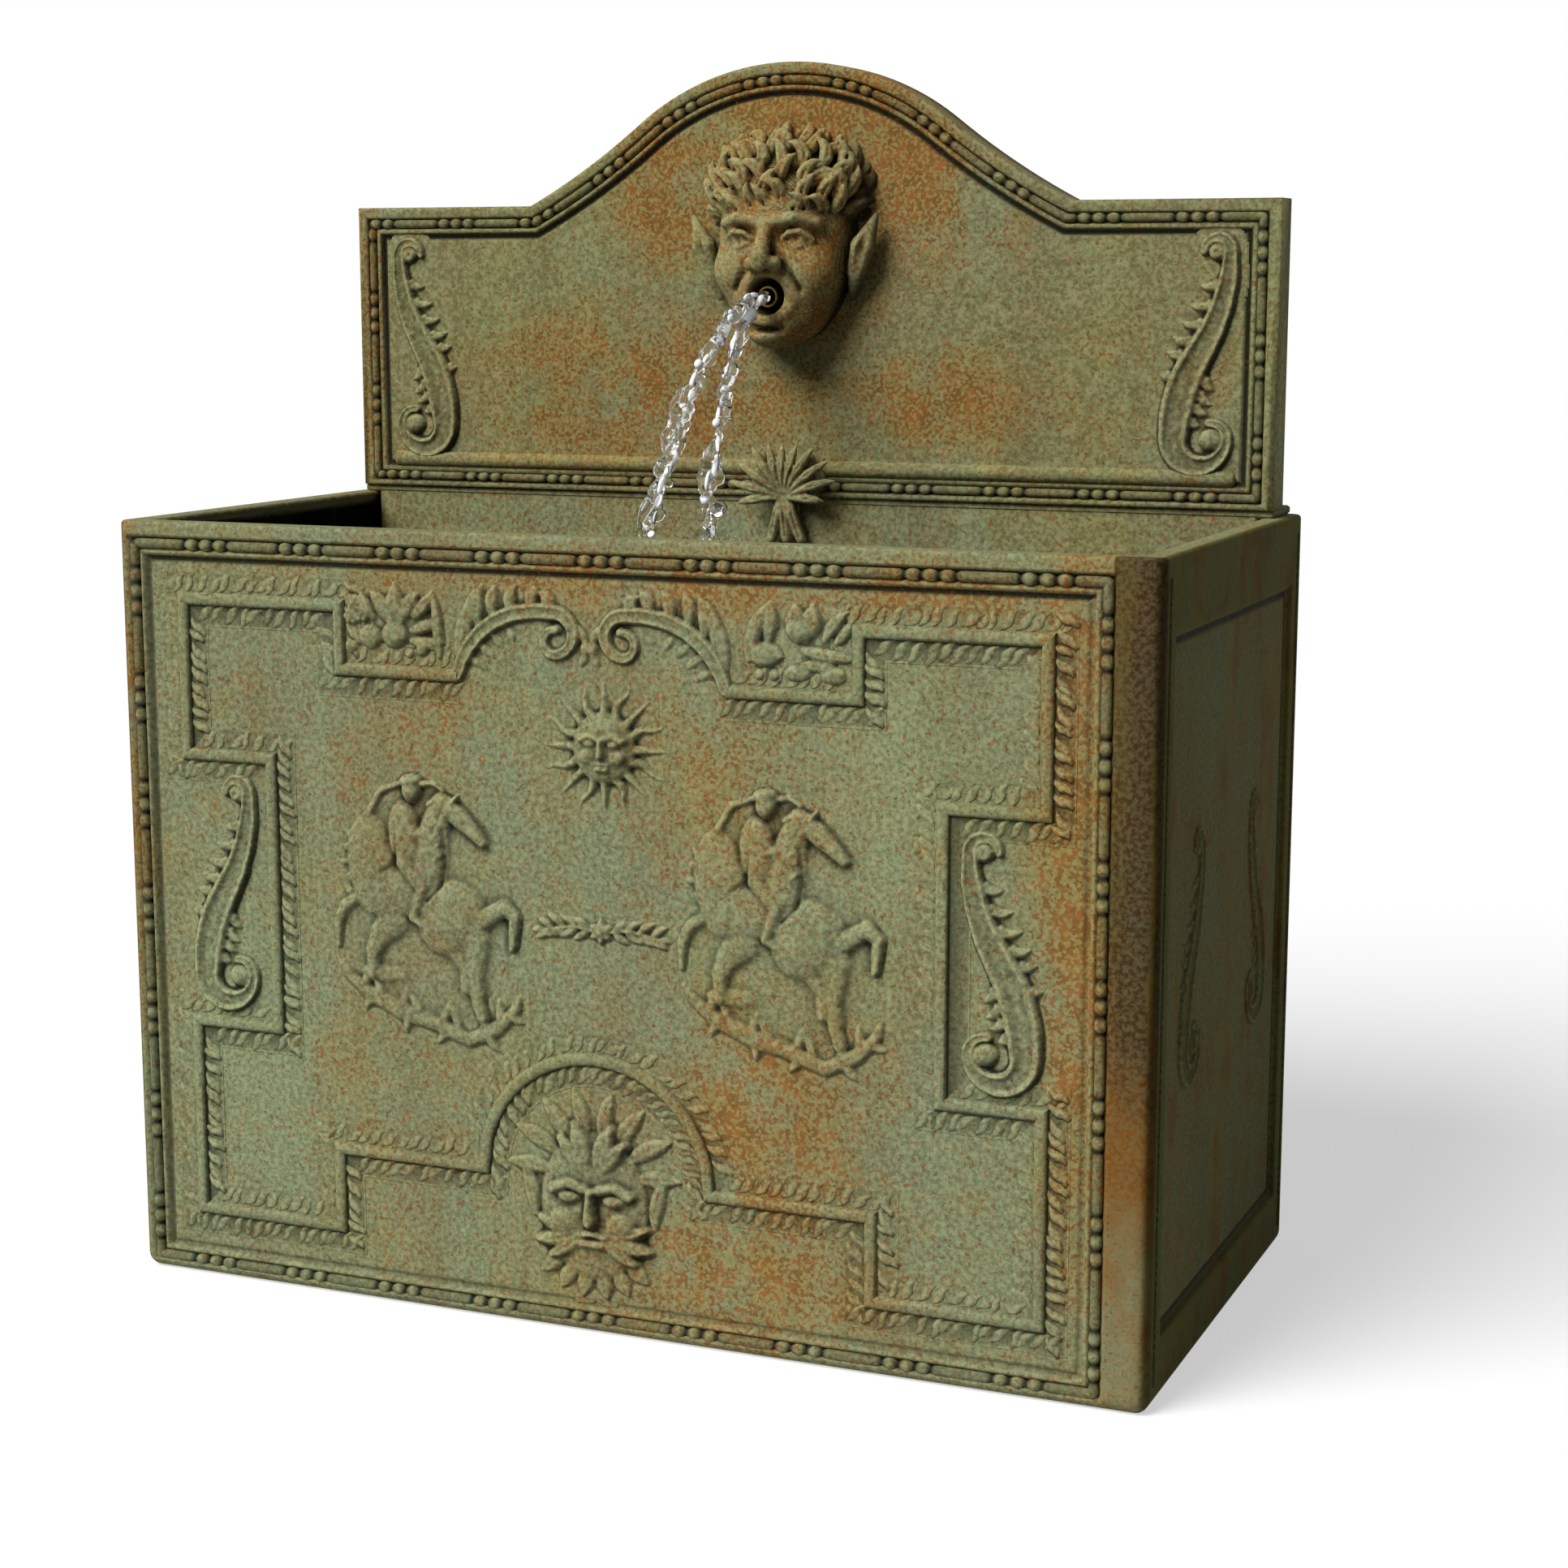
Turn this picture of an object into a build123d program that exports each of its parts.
from build123d import *

import os
from math import cos, radians, sin

# Garden wall fountain: a cistern tank with an arched splashback, a mask spout and a hidden pump.
# Millimetres. The origin is the middle of the footprint on the ground, the front faces -Y, +Z is up.

# How far a cut runs past a face, and joined forms run into each other
OVERLAP = 1.0
FILLET_ROOM = 0.5

# Tank
TANK_WIDTH = 800.0
TANK_DEPTH = 400.0
TANK_HEIGHT = 578.0
TANK_WALL = 12.0
TANK_FLOOR = 12.0
RIM_WIDTH = 20.0
RIM_THICKNESS = 10.0
CORNER_RADIUS = 10.0
BASE_EDGE_RADIUS = 11.0
RIM_EDGE_RADIUS = 3.0
FIELD_RECESS = 4.0
FRONT_LEFT_MARGIN = 24.0
FRONT_RIGHT_MARGIN = 47.0
FRONT_TOP_MARGIN = 9.0
FRONT_BOTTOM_MARGIN = 14.0
SIDE_EDGE_MARGIN = 35.0
SIDE_TOP_MARGIN = 54.0
SIDE_BOTTOM_MARGIN = 48.0

# Strapwork cast on the tank's front
STRAP_WIDTH = 9.0
STRAP_HEIGHT = 3.5
STRAP_SIDE_MARGIN = 66.0
STRAP_OFFSET = 11.0
STRAP_TOP_MARGIN = 56.0
STRAP_BOTTOM_MARGIN = 54.0
NOTCH_DEPTH = 72.0
UPPER_LEG = 116.0
LOWER_LEG = 148.0
STEP_X = 212.0
STEP_RISE = 61.0
FOOT_ARCH_RADIUS = 90.0
BLOCK_INNER_X = 104.0
BLOCK_WIDTH = 97.0
BLOCK_DROP = 46.0
CURL_RADIUS = 46.0
CURL_TURN = 165.0
CURL_LEAN = 0.2
SUN_HEIGHT = 431.0
SUN_RADIUS = 26.0
SUN_THICKNESS = 4.0
RAY_COUNT = 16
RAY_LENGTH = 26.0
RAY_WIDTH = 7.0
RAY_THICKNESS = 3.0
RELIEF_MASK_RADIUS = 70.0
RELIEF_MASK_THICKNESS = 4.0
RELIEF_MASK_DROP = 9.0

# S scrolls, drawn as tangent arcs
SCROLL_TOP_RADIUS = 10.0
SCROLL_BACK_RADIUS = 112.0
SCROLL_BELLY_RADIUS = 76.0
SCROLL_FOOT_RADIUS = 25.0
SCROLL_EYE_RADIUS = 13.0
SCROLL_TOP_TURN = 250.0
SCROLL_BACK_TURN = 40.0
SCROLL_BELLY_TURN = -50.0
SCROLL_FOOT_TURN = -160.0
SCROLL_EYE_TURN = -220.0
SCROLL_START_HEADING = -350.0
SCROLL_WIDTH = 8.0
SCROLL_THICKNESS = 3.5
PANEL_SCROLL_EDGE = 64.0
PANEL_SCROLL_RISE = 122.0
FRONT_SCROLL_RISE = 302.0

# Splashback panel
PANEL_SIDE_SETBACK = 10.0
SHOULDER_RISE = 235.0
ARCH_RISE = 108.0
ARCH_HALF_SPAN = 229.0
ARCH_RADIUS = 210.0
ARCH_HALF_ANGLE = 38.0
PANEL_RETURN = 32.0
PANEL_SKIN = 7.0
PANEL_WALL = 6.0
PANEL_BORDER = 24.0
PANEL_RECESS = 2.5
LEDGE_THICKNESS = 6.0
SKIRT_DROP = 140.0
SKIRT_WALL = 6.0
SKIRT_SETBACK = 4.0
SKIRT_SIDE_CLEARANCE = 3.0
MOULDING_RADIUS = 7.0
MOULDING_RISE = 20.0
MOULDING_SINK = 2.0

# Panel fixings
BOLT_RADIUS = 4.0
BOLT_LENGTH = 30.0
BOLT_HEAD_RADIUS = 7.5
BOLT_HEAD_HEIGHT = 5.5
BOLT_DROP = 80.0
BOLT_INNER_X = 120.0
BOLT_EDGE = 60.0
BOLT_HOLE_CLEARANCE = 0.5
THREAD_CLEARANCE = 0.1
WASHER_RADIUS = 10.0
WASHER_THICKNESS = 1.6
INSERT_RADIUS = 6.5
INSERT_LENGTH = 22.0
PAD_SIZE = 34.0
PAD_BORE_DEPTH = 28.0

# Water pipe and spout
RISER_RADIUS = 10.0
RISER_BORE_RADIUS = 8.0
RISER_RIM_GAP = 2.0
RISER_HOLE_CLEARANCE = 1.5
RISER_COLLAR_HEIGHT = 3.0
SPOUT_RISE = 163.0
SPOUT_RADIUS = 8.0
SPOUT_BORE_RADIUS = 6.5
SPOUT_REACH = 46.0
SPOUT_CLEARANCE = 0.3
FITTING_CLEARANCE = 0.1
ELBOW_RADIUS = 13.0
ELBOW_BRANCH_RADIUS = 12.0
ELBOW_BRANCH_LENGTH = 14.0
ELBOW_DROP = 28.0
ELBOW_SOCKET_DEPTH = 16.0
SPOUT_SOCKET_DEPTH = 9.0
NUT_THICKNESS = 5.0
NUT_RADIUS = 15.0
NUT_GAP = 0.5
SEAL_THICKNESS = 2.0
SEAL_RADIUS = 14.0
CLIP_WALL = 3.0
CLIP_HEIGHT = 16.0
CLIP_MOUTH = 16.0
CLIP_BASE_WIDTH = 22.0
CLIP_ABOVE_LEDGE = 26.0
CLIP_BELOW_SPOUT = 60.0

# Mask and leaf ornament
MASK_RADIUS = 64.0
MASK_HALF_HEIGHT = 82.0
MASK_SINK = 6.0
MASK_RISE = 42.0
MASK_HAIR_RADIUS = 76.0
MASK_HAIR_HALF_HEIGHT = 48.0
MASK_HAIR_SINK = 26.0
MASK_HAIR_RISE = 82.0
MASK_NOSE_RADIUS = 11.0
MASK_NOSE_HALF_HEIGHT = 21.0
MASK_NOSE_RISE = 36.0
MASK_EAR_X = 70.0
MASK_EAR_RADIUS = 12.0
MASK_EAR_HALF_HEIGHT = 28.0
MASK_EAR_RISE = 52.0
MOUTH_RADIUS = 14.0
MOUTH_DEPTH = 12.0
MOUTH_LIP_RADIUS = 21.0
SCREW_RADIUS = 2.5
SCREW_HEAD_RADIUS = 4.6
SCREW_HEAD_HEIGHT = 3.0
MASK_SCREW_GRIP = 20.0
MASK_SCREW_X = 32.0
MASK_SCREW_RISES = (28.0, 88.0)
LEAF_TIP_RISE = 46.0
LEAF_HALF_WIDTH = 48.0
LEAF_STEM_HALF_WIDTH = 12.0
LEAF_STEM_DROP = 48.0
LEAF_THICKNESS = 14.0
LEAF_LOBES = 7
LEAF_SPREAD = 130.0
LOBE_SLENDERNESS = 2.5
LEAF_FIT = 0.2
LEAF_SCREW_X = 20.0
LEAF_SCREW_RISE = 14.0
LEAF_SCREW_GRIP = 9.0

# Pump, with its shaft along X
CUP_HEIGHT = 10.0
CUP_RADIUS = 11.0
CUP_NECK_RADIUS = 6.0
CUP_STEM_RADIUS = 3.0
PUMP_HALF_HEIGHT = 32.0
PUMP_PLATE = 4.0
PUMP_PLATE_OVERHANG = 5.0
CUP_INSET = 9.0
VOLUTE_RADIUS = 31.0
VOLUTE_HALF_WIDTH = 13.0
CHAMBER_RADIUS = 24.0
CHAMBER_HALF_WIDTH = 9.0
MOTOR_LENGTH = 95.0
MOTOR_CORNER_RADIUS = 8.0
WELL_RADIUS = 13.6
WELL_LENGTH = 58.0
MAGNET_RADIUS = 12.8
ROTOR_END_PLAY = 1.0
IMPELLER_RADIUS = 19.0
IMPELLER_DISC = 2.0
IMPELLER_HUB_RADIUS = 5.0
IMPELLER_GAP = 1.5
VANE_COUNT = 6
VANE_THICKNESS = 2.0
VANE_FRONT_GAP = 3.0
VANE_TIP_GAP = 0.3
SHAFT_RADIUS = 1.5
SHAFT_CLEARANCE = 0.06
BUSH_RADIUS = 5.0
BUSH_LENGTH = 6.0
FRONT_BUSH_RADIUS = 4.0
FRONT_BUSH_LENGTH = 4.0
COVER_HUB_WALL = 2.2
COVER_HUB_STANDOFF = 1.0
COVER_RADIUS = 27.0
COVER_CLEARANCE = 0.1
INLET_RADIUS = 15.0
SPOKE_COUNT = 3
SPOKE_WIDTH = 3.0
OUTLET_OFFSET = 19.0
OUTLET_RADIUS = 11.0
OUTLET_BORE_RADIUS = 6.5
OUTLET_HEIGHT = 46.0
OUTLET_SEAL_HEIGHT = 2.0
UNION_RADIUS = 17.0
UNION_SKIRT = 10.0
UNION_NECK = 7.0
UNION_CLEARANCE = 0.15
STATOR_WALL = 2.4
STATOR_LEG = 10.0
STATOR_HALF_HEIGHT = 10.0
STATOR_LEG_END = 7.0
YOKE_SETBACK = 10.0
YOKE_WIDTH = 12.0
COIL_BUILD = 5.0
COIL_HALF_LENGTH = 14.0
GLAND_RADIUS = 7.0
GLAND_LENGTH = 8.0
GLAND_SPIGOT_RADIUS = 5.0
GLAND_SPIGOT_LENGTH = 5.0
GLAND_BORE_RADIUS = 3.0
GLAND_RISE = 23.0
STRAINER_LENGTH = 42.0
STRAINER_WALL = 2.4
STRAINER_GAP = 0.4
STRAINER_CORNER_RADIUS = 6.0
TONGUE_LENGTH = 18.0
TONGUE_HALF_HEIGHT = 9.0
SLOT_WIDTH = 3.0
SLOT_PITCH = 8.0
SLOT_LENGTH = 15.0
SLOT_COLUMNS = 7
SLOT_RISE = 19.0
DIAL_RADIUS = 9.0
DIAL_HEIGHT = 6.0
DIAL_STEM_RADIUS = 5.0
DIAL_KEEPER_RADIUS = 8.0
DIAL_KEEPER_THICKNESS = 2.0
DIAL_CLEARANCE = 0.3
DIAL_GRIP_WIDTH = 3.0
DIAL_GRIP_HEIGHT = 4.0
DIAL_GRIP_INSET = 1.0

# Drain and lead entry
DRAIN_SIDE_INSET = 100.0
DRAIN_FRONT_INSET = 110.0
DRAIN_BUSH_RADIUS = 15.0
DRAIN_FLANGE_RADIUS = 22.0
DRAIN_FLANGE_THICKNESS = 3.0
DRAIN_BORE_RADIUS = 10.0
DRAIN_BUSH_RECESS = 1.0
BUNG_CLEARANCE = 0.3
BUNG_HEAD_RADIUS = 14.0
BUNG_HEAD_HEIGHT = 7.0
BUNG_PLUG_LENGTH = 10.0
BUNG_TAB_WIDTH = 20.0
BUNG_TAB_THICKNESS = 5.0
BUNG_TAB_HEIGHT = 18.0
BUNG_EYE_RADIUS = 5.0
GROMMET_RADIUS = 9.0
GROMMET_BORE_RADIUS = 4.5
GROMMET_FLANGE_RADIUS = 12.0
GROMMET_FLANGE = 2.5
GROMMET_DROP = 60.0
GROMMET_PAD_GAP = 30.0

# Places that follow from the sizes above
BACK_Y = TANK_DEPTH / 2
FRONT_FIELD_Y = -TANK_DEPTH / 2 + FIELD_RECESS
WALL_INNER_Y = BACK_Y - TANK_WALL
RISER_Y = BACK_Y - RIM_WIDTH - RISER_RIM_GAP - RISER_RADIUS
ELBOW_FACE_Y = RISER_Y - ELBOW_BRANCH_LENGTH
SKIN_BACK_Y = ELBOW_FACE_Y - NUT_GAP - NUT_THICKNESS - SEAL_THICKNESS
PANEL_FRONT_Y = SKIN_BACK_Y - PANEL_SKIN
PANEL_BACK_Y = PANEL_FRONT_Y + PANEL_RETURN
PANEL_FIELD_Y = PANEL_FRONT_Y + PANEL_RECESS
PANEL_HALF_WIDTH = TANK_WIDTH / 2 - PANEL_SIDE_SETBACK
SKIRT_FRONT_Y = PANEL_FRONT_Y + SKIRT_SETBACK
SKIRT_BACK_Y = SKIRT_FRONT_Y + SKIRT_WALL
SKIRT_HALF_WIDTH = TANK_WIDTH / 2 - RIM_WIDTH - SKIRT_SIDE_CLEARANCE
SHOULDER_Z = TANK_HEIGHT + SHOULDER_RISE
APEX_Z = SHOULDER_Z + ARCH_RISE
MOULDING_Z = TANK_HEIGHT + MOULDING_RISE
SPOUT_Z = TANK_HEIGHT + SPOUT_RISE
SPOUT_TIP_Y = PANEL_FIELD_Y - SPOUT_REACH
BOLT_Z = TANK_HEIGHT - BOLT_DROP
BOLT_OUTER_X = SKIRT_HALF_WIDTH - BOLT_EDGE
BOLT_XS = (-BOLT_OUTER_X, -BOLT_INNER_X, BOLT_INNER_X, BOLT_OUTER_X)
PUMP_AXIS_Y = RISER_Y - OUTLET_OFFSET
PUMP_BASE_Z = TANK_FLOOR + CUP_HEIGHT
PUMP_AXIS_Z = PUMP_BASE_Z + PUMP_HALF_HEIGHT
MOTOR_END_X = -VOLUTE_HALF_WIDTH - MOTOR_LENGTH
WELL_END_X = -CHAMBER_HALF_WIDTH - WELL_LENGTH
OUTLET_TOP_Z = PUMP_AXIS_Z + OUTLET_HEIGHT
RISER_BASE_Z = OUTLET_TOP_Z + OUTLET_SEAL_HEIGHT
RISER_TOP_Z = SPOUT_Z - ELBOW_DROP + ELBOW_SOCKET_DEPTH
STRAINER_BACK_X = VOLUTE_HALF_WIDTH + STRAINER_GAP
STRAINER_FRONT_X = STRAINER_BACK_X + STRAINER_LENGTH
STRAINER_HALF_WIDTH = VOLUTE_RADIUS + STRAINER_GAP + STRAINER_WALL
DRAIN_X = TANK_WIDTH / 2 - DRAIN_SIDE_INSET
DRAIN_Y = -TANK_DEPTH / 2 + DRAIN_FRONT_INSET
GROMMET_X = -BOLT_INNER_X - PAD_SIZE / 2 - GROMMET_PAD_GAP
GROMMET_Z = TANK_HEIGHT - GROMMET_DROP


def block(low, high):
    """Box between two opposite corners."""
    size = [b - a for a, b in zip(low, high)]
    middle = [(a + b) / 2 for a, b in zip(low, high)]
    return Pos(*middle) * Box(*size)


def rod_x(x0, x1, y, z, radius):
    """Cylinder along X."""
    return Pos((x0 + x1) / 2, y, z) * Rot(0, 90, 0) * Cylinder(radius, x1 - x0)


def rod_y(y0, y1, x, z, radius):
    """Cylinder along Y."""
    return Pos(x, (y0 + y1) / 2, z) * Rot(90, 0, 0) * Cylinder(radius, y1 - y0)


def rod_z(z0, z1, x, y, radius):
    """Cylinder along Z."""
    return Pos(x, y, (z0 + z1) / 2) * Cylinder(radius, z1 - z0)


def hole_x(x0, x1, y, z, radius):
    """Cutter along X that runs past both faces."""
    return rod_x(x0 - OVERLAP, x1 + OVERLAP, y, z, radius)


def hole_y(y0, y1, x, z, radius):
    """Cutter along Y that runs past both faces."""
    return rod_y(y0 - OVERLAP, y1 + OVERLAP, x, z, radius)


def hole_z(z0, z1, x, y, radius):
    """Cutter along Z that runs past both faces."""
    return rod_z(z0 - OVERLAP, z1 + OVERLAP, x, y, radius)


def pump_rod(x0, x1, radius):
    """Cylinder on the pump's axis."""
    return rod_x(x0, x1, PUMP_AXIS_Y, PUMP_AXIS_Z, radius)


def pump_hole(x0, x1, radius):
    """Cutter on the pump's axis that runs past both faces."""
    return hole_x(x0, x1, PUMP_AXIS_Y, PUMP_AXIS_Z, radius)


def hex_y(y0, y1, x, z, radius):
    """Hexagon bar along Y, with the radius to its corners."""
    return extrude(face_plane(y1) * Pos(x, z) * RegularPolygon(radius, 6), y1 - y0)


def hex_z(z0, z1, x, y, radius):
    """Hexagon bar along Z, with the radius to its corners."""
    return extrude(Pos(x, y, z0) * RegularPolygon(radius, 6), z1 - z0)


def face_plane(y):
    """Plane facing the front at a depth, with the sketch's x as X and its y as Z."""
    return Plane((0, y, 0), x_dir=(1, 0, 0), z_dir=(0, -1, 0))


def raised(sketch, y, height):
    """Relief on a front-facing surface, sunk a little so that it joins the wall."""
    return extrude(face_plane(y + OVERLAP) * sketch, height + OVERLAP)


def spheroid(x, y, z, radius, half_height):
    """Egg-like solid, round about its upright axis."""
    half = Ellipse(radius, half_height) & Pos(radius, 0) * Rectangle(2 * radius, 3 * half_height)
    return Pos(x, y, z) * revolve(Plane.XZ * half, Axis.Z)


def square_band(points, width):
    """Band of one width along level and upright lines through the points."""
    band = Sketch()
    for (x0, z0), (x1, z1) in zip(points, points[1:]):
        middle = Pos((x0 + x1) / 2, (z0 + z1) / 2)
        band += middle * Rectangle(abs(x1 - x0) + width, abs(z1 - z0) + width)
    return band


def mirrored(sketch):
    """Sketch together with its mirror image across the middle line."""
    return sketch + mirror(sketch, about=Plane.YZ)


def s_scroll():
    """S-shaped band with rolled ends, centred on its own middle."""
    turns = (
        (SCROLL_TOP_RADIUS, SCROLL_TOP_TURN),
        (SCROLL_BACK_RADIUS, SCROLL_BACK_TURN),
        (SCROLL_BELLY_RADIUS, SCROLL_BELLY_TURN),
        (SCROLL_FOOT_RADIUS, SCROLL_FOOT_TURN),
        (SCROLL_EYE_RADIUS, SCROLL_EYE_TURN),
    )
    heading = SCROLL_START_HEADING
    point = Vector(0, 0)
    band = Sketch()
    for radius, turn in turns:
        tangent = (cos(radians(heading)), sin(radians(heading)))
        arc = JernArc(point, tangent, radius, turn)
        band += trace(arc, SCROLL_WIDTH)
        point = arc @ 1
        heading += turn
    middle = band.bounding_box().center()
    return Pos(-middle.X, -middle.Y) * band


def tank_front_relief():
    """Strapwork, side scrolls, sun and foot medallion of the front."""
    top = TANK_HEIGHT - STRAP_TOP_MARGIN
    bottom = STRAP_BOTTOM_MARGIN
    outer = TANK_WIDTH / 2 - STRAP_SIDE_MARGIN
    notch = outer - NOTCH_DEPTH
    step = bottom + STEP_RISE
    block_outer = BLOCK_INNER_X + BLOCK_WIDTH
    route = [
        (FOOT_ARCH_RADIUS, step),
        (STEP_X, step),
        (STEP_X, bottom),
        (outer, bottom),
        (outer, bottom + LOWER_LEG),
        (notch, bottom + LOWER_LEG),
        (notch, top - UPPER_LEG),
        (outer, top - UPPER_LEG),
        (outer, top),
        (block_outer, top),
        (block_outer, top - BLOCK_DROP),
        (BLOCK_INNER_X, top - BLOCK_DROP),
    ]
    strap = mirrored(square_band(route, STRAP_WIDTH))
    arch = Circle(FOOT_ARCH_RADIUS + STRAP_WIDTH / 2) - Circle(FOOT_ARCH_RADIUS - STRAP_WIDTH / 2)
    arch &= Pos(0, TANK_HEIGHT / 2) * Rectangle(TANK_WIDTH, TANK_HEIGHT)
    strap += Pos(0, step) * arch
    sweep = JernArc((BLOCK_INNER_X, top - BLOCK_DROP), (-CURL_LEAN, 1), CURL_RADIUS, CURL_TURN)
    strap += mirrored(trace(sweep, STRAP_WIDTH))
    off_centre = Pos(-STRAP_OFFSET, 0)
    relief = raised(off_centre * strap, FRONT_FIELD_Y, STRAP_HEIGHT)

    scroll = Pos((outer + notch) / 2, FRONT_SCROLL_RISE) * s_scroll()
    relief += raised(off_centre * mirrored(scroll), FRONT_FIELD_Y, SCROLL_THICKNESS)

    rays = Sketch()
    ray = Polygon((-RAY_WIDTH / 2, 0), (RAY_WIDTH / 2, 0), (0, RAY_LENGTH), align=None)
    for index in range(RAY_COUNT):
        rays += Rot(0, 0, index * 360 / RAY_COUNT) * Pos(0, SUN_RADIUS - OVERLAP) * ray
    relief += raised(Pos(0, SUN_HEIGHT) * rays, FRONT_FIELD_Y, RAY_THICKNESS)
    relief += raised(Pos(0, SUN_HEIGHT) * Circle(SUN_RADIUS), FRONT_FIELD_Y, RAY_THICKNESS)
    relief += cap(0, SUN_HEIGHT, SUN_RADIUS, SUN_THICKNESS)
    relief += cap(-STRAP_OFFSET, step - RELIEF_MASK_DROP, RELIEF_MASK_RADIUS, RELIEF_MASK_THICKNESS)
    return relief


def cap(x, z, radius, height):
    """Shallow dome on the tank's front."""
    ball = (radius**2 + height**2) / (2 * height)
    dome = Pos(x, FRONT_FIELD_Y - height + ball, z) * Sphere(ball)
    keep = rod_y(FRONT_FIELD_Y - height, FRONT_FIELD_Y + OVERLAP, x, z, radius)
    return dome & keep


def make_tank():
    body = block(
        (-TANK_WIDTH / 2, -TANK_DEPTH / 2, 0), (TANK_WIDTH / 2, TANK_DEPTH / 2, TANK_HEIGHT)
    )
    body = fillet(body.edges().filter_by(Axis.Z), CORNER_RADIUS)
    body = fillet(body.edges().group_by(Axis.Z)[0], min(BASE_EDGE_RADIUS, TANK_FLOOR - FILLET_ROOM))
    body = fillet(body.edges().group_by(Axis.Z)[-1], min(RIM_EDGE_RADIUS, RIM_WIDTH / 3))

    inner_x = TANK_WIDTH / 2 - TANK_WALL
    body -= block(
        (-inner_x, -WALL_INNER_Y, TANK_FLOOR),
        (inner_x, WALL_INNER_Y, TANK_HEIGHT - RIM_THICKNESS),
    )
    mouth_x = TANK_WIDTH / 2 - RIM_WIDTH
    mouth_y = TANK_DEPTH / 2 - RIM_WIDTH
    body -= block((-mouth_x, -mouth_y, TANK_FLOOR), (mouth_x, mouth_y, TANK_HEIGHT + OVERLAP))

    body -= block(
        (FRONT_LEFT_MARGIN - TANK_WIDTH / 2, -TANK_DEPTH / 2 - OVERLAP, FRONT_BOTTOM_MARGIN),
        (TANK_WIDTH / 2 - FRONT_RIGHT_MARGIN, FRONT_FIELD_Y, TANK_HEIGHT - FRONT_TOP_MARGIN),
    )
    field_y = TANK_DEPTH / 2 - SIDE_EDGE_MARGIN
    side_field_x = TANK_WIDTH / 2 - FIELD_RECESS
    for side in (-1, 1):
        ends = sorted((side * side_field_x, side * (TANK_WIDTH / 2 + OVERLAP)))
        body -= block(
            (ends[0], -field_y, SIDE_BOTTOM_MARGIN),
            (ends[1], field_y, TANK_HEIGHT - SIDE_TOP_MARGIN),
        )
    body += tank_front_relief()

    for x in BOLT_XS:
        half = PAD_SIZE / 2
        body += block(
            (x - half, SKIRT_BACK_Y, BOLT_Z - half),
            (x + half, WALL_INNER_Y + OVERLAP, BOLT_Z + half),
        )
        body -= rod_y(SKIRT_BACK_Y, SKIRT_BACK_Y + PAD_BORE_DEPTH, x, BOLT_Z, INSERT_RADIUS)
    body -= hole_y(WALL_INNER_Y, BACK_Y, GROMMET_X, GROMMET_Z, GROMMET_RADIUS)
    body -= hole_z(0, TANK_FLOOR, DRAIN_X, DRAIN_Y, DRAIN_BUSH_RADIUS)
    return body


def panel_outline():
    """Arched outline of the splashback, from the rim up."""
    lean = radians(ARCH_HALF_ANGLE)
    crown = (ARCH_RADIUS * sin(lean), APEX_Z - ARCH_RADIUS * (1 - cos(lean)))
    corner = (ARCH_HALF_SPAN, SHOULDER_Z)
    flank = TangentArc(crown, corner, tangent=(cos(lean), -sin(lean)))
    other_flank = mirror(flank, about=Plane.YZ)
    arch = ThreePointArc((-crown[0], crown[1]), (0, APEX_Z), crown)
    foot = Polyline(
        corner,
        (PANEL_HALF_WIDTH, SHOULDER_Z),
        (PANEL_HALF_WIDTH, TANK_HEIGHT),
        (-PANEL_HALF_WIDTH, TANK_HEIGHT),
        (-PANEL_HALF_WIDTH, SHOULDER_Z),
        (-corner[0], corner[1]),
    )
    return make_face([*arch.edges(), *flank.edges(), *foot.edges(), *other_flank.edges()])


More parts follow.
